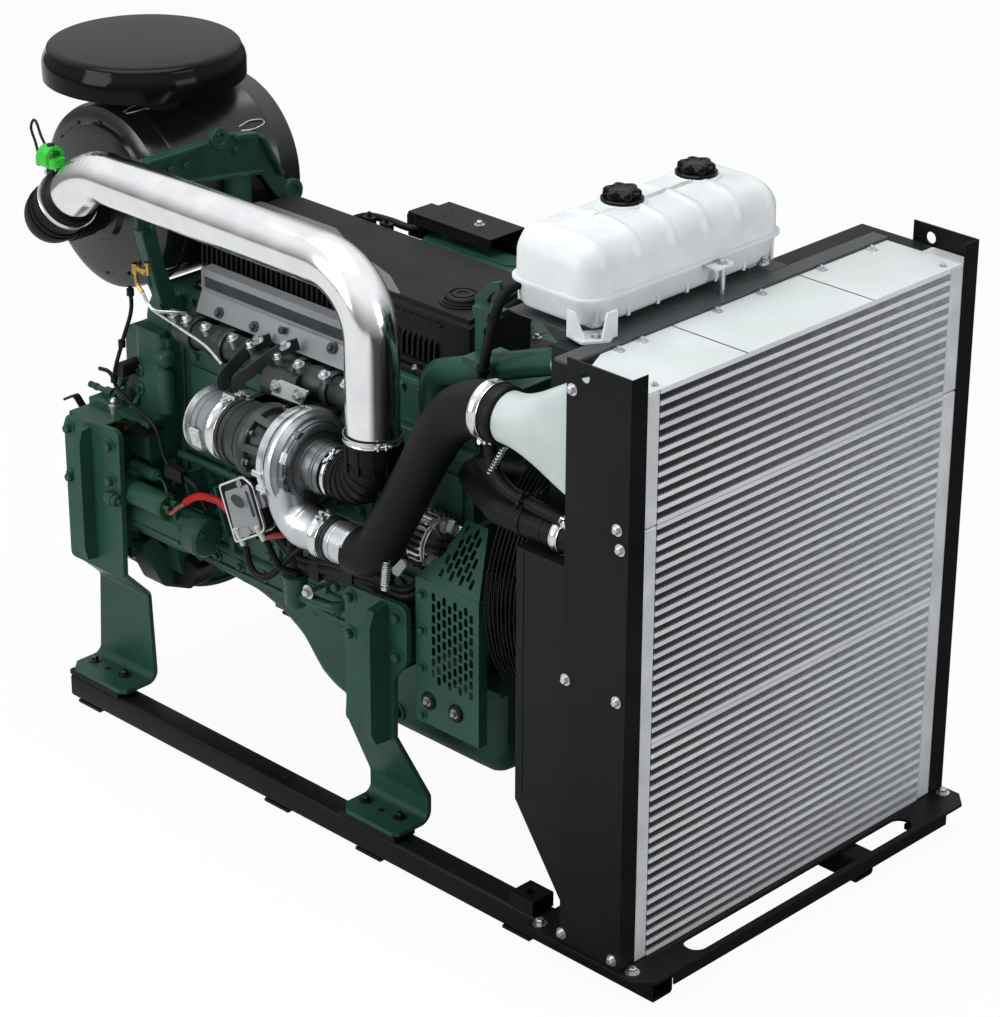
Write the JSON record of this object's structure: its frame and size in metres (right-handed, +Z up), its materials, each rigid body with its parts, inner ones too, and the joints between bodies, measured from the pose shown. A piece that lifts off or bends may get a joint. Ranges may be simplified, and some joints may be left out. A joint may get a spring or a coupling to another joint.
{
  "type": "stationary diesel engine",
  "caption": "Turbocharged in-line diesel engine with front radiator, charge air cooler, fan and roof-mounted air cleaner, on a pair of rails, for driving a generator or pump.",
  "frame": {"origin": "middle of the outline, on the floor under the rails", "axes": "+X from the flywheel to the radiator, +Z up, the turbocharger on the -Y side"},
  "size_m": [2.1729, 1.18, 1.637],
  "materials": {
    "green_paint": "semi-gloss enamel",
    "black_paint": "satin powder coat",
    "core_fins": "brazed fins",
    "end_tank_metal": "satin",
    "pale_cover": "satin",
    "fan_plastic": "moulded",
    "black_plastic": "moulded",
    "tank_plastic": "translucent, moulded",
    "rubber": "moulded",
    "belt_rubber": "ribbed",
    "polished_pipe": "polished",
    "cast_aluminium": "cast",
    "cast_iron": "as cast",
    "shield_steel": "rolled",
    "cone_paint": "satin",
    "machined_steel": "machined",
    "canister_paint": "satin",
    "cap_plastic": "glossy"
  },
  "bodies": {
    "engine": {"rail_left": "black_paint", "rail_right": "black_paint", "rail_pads": "black_paint", "base_plate": "black_paint", "radiator_mounts": "black_paint", "radiator_core": "core_fins", "charge_air_cooler": "core_fins", "radiator_end_tanks": "end_tank_metal", "charge_air_end_tanks": "end_tank_metal", "side_plate_left": "black_paint", "side_plate_right": "black_paint", "top_covers": "pale_cover", "top_channel": "black_paint", "fan_shroud": "black_paint", "fan_guard": "black_paint", "fan_drive": "black_paint", "expansion_tank": "tank_plastic", "expansion_tank_caps": "black_plastic", "tank_bracket": "black_paint", "cylinder_block": "green_paint", "oil_sump": "green_paint", "cylinder_head": "green_paint", "rocker_cover": "black_plastic", "oil_filler_cap": "black_plastic", "flywheel_housing": "green_paint", "flywheel": "machined_steel", "timing_cover": "green_paint", "crank_pulley": "black_paint", "drive_belt": "belt_rubber", "alternator": "cast_aluminium", "starter_motor": "green_paint", "belt_guard": "green_paint", "exhaust_manifold": "cast_iron", "heat_shield": "shield_steel", "turbine_housing": "cast_iron", "exhaust_outlet": "cast_iron", "compressor_housing": "cast_aluminium", "compressor_elbow": "rubber", "intake_pipe": "polished_pipe", "intake_elbow": "rubber", "air_cleaner": "canister_paint", "rain_cap": "cap_plastic", "air_cleaner_bracket": "green_paint", "charge_air_hose": "rubber", "charge_air_cone": "cone_paint", "coolant_pipe": "green_paint", "coolant_hose": "rubber", "front_foot_left": "green_paint", "front_foot_right": "green_paint", "rear_foot_left": "green_paint", "rear_foot_right": "green_paint", "foot_pads": "rubber", "intake_manifold": "green_paint", "cooler_housing": "green_paint", "control_box": "black_paint"},
    "fan": {"fan": "fan_plastic"}
  },
  "joints": [
    {"name": "fan_spin", "type": "hinge", "parent": "engine", "child": "fan", "pos_m": [0.611, -0.109, 0.774], "axis": [1, 0, 0], "continuous": true}
  ]
}
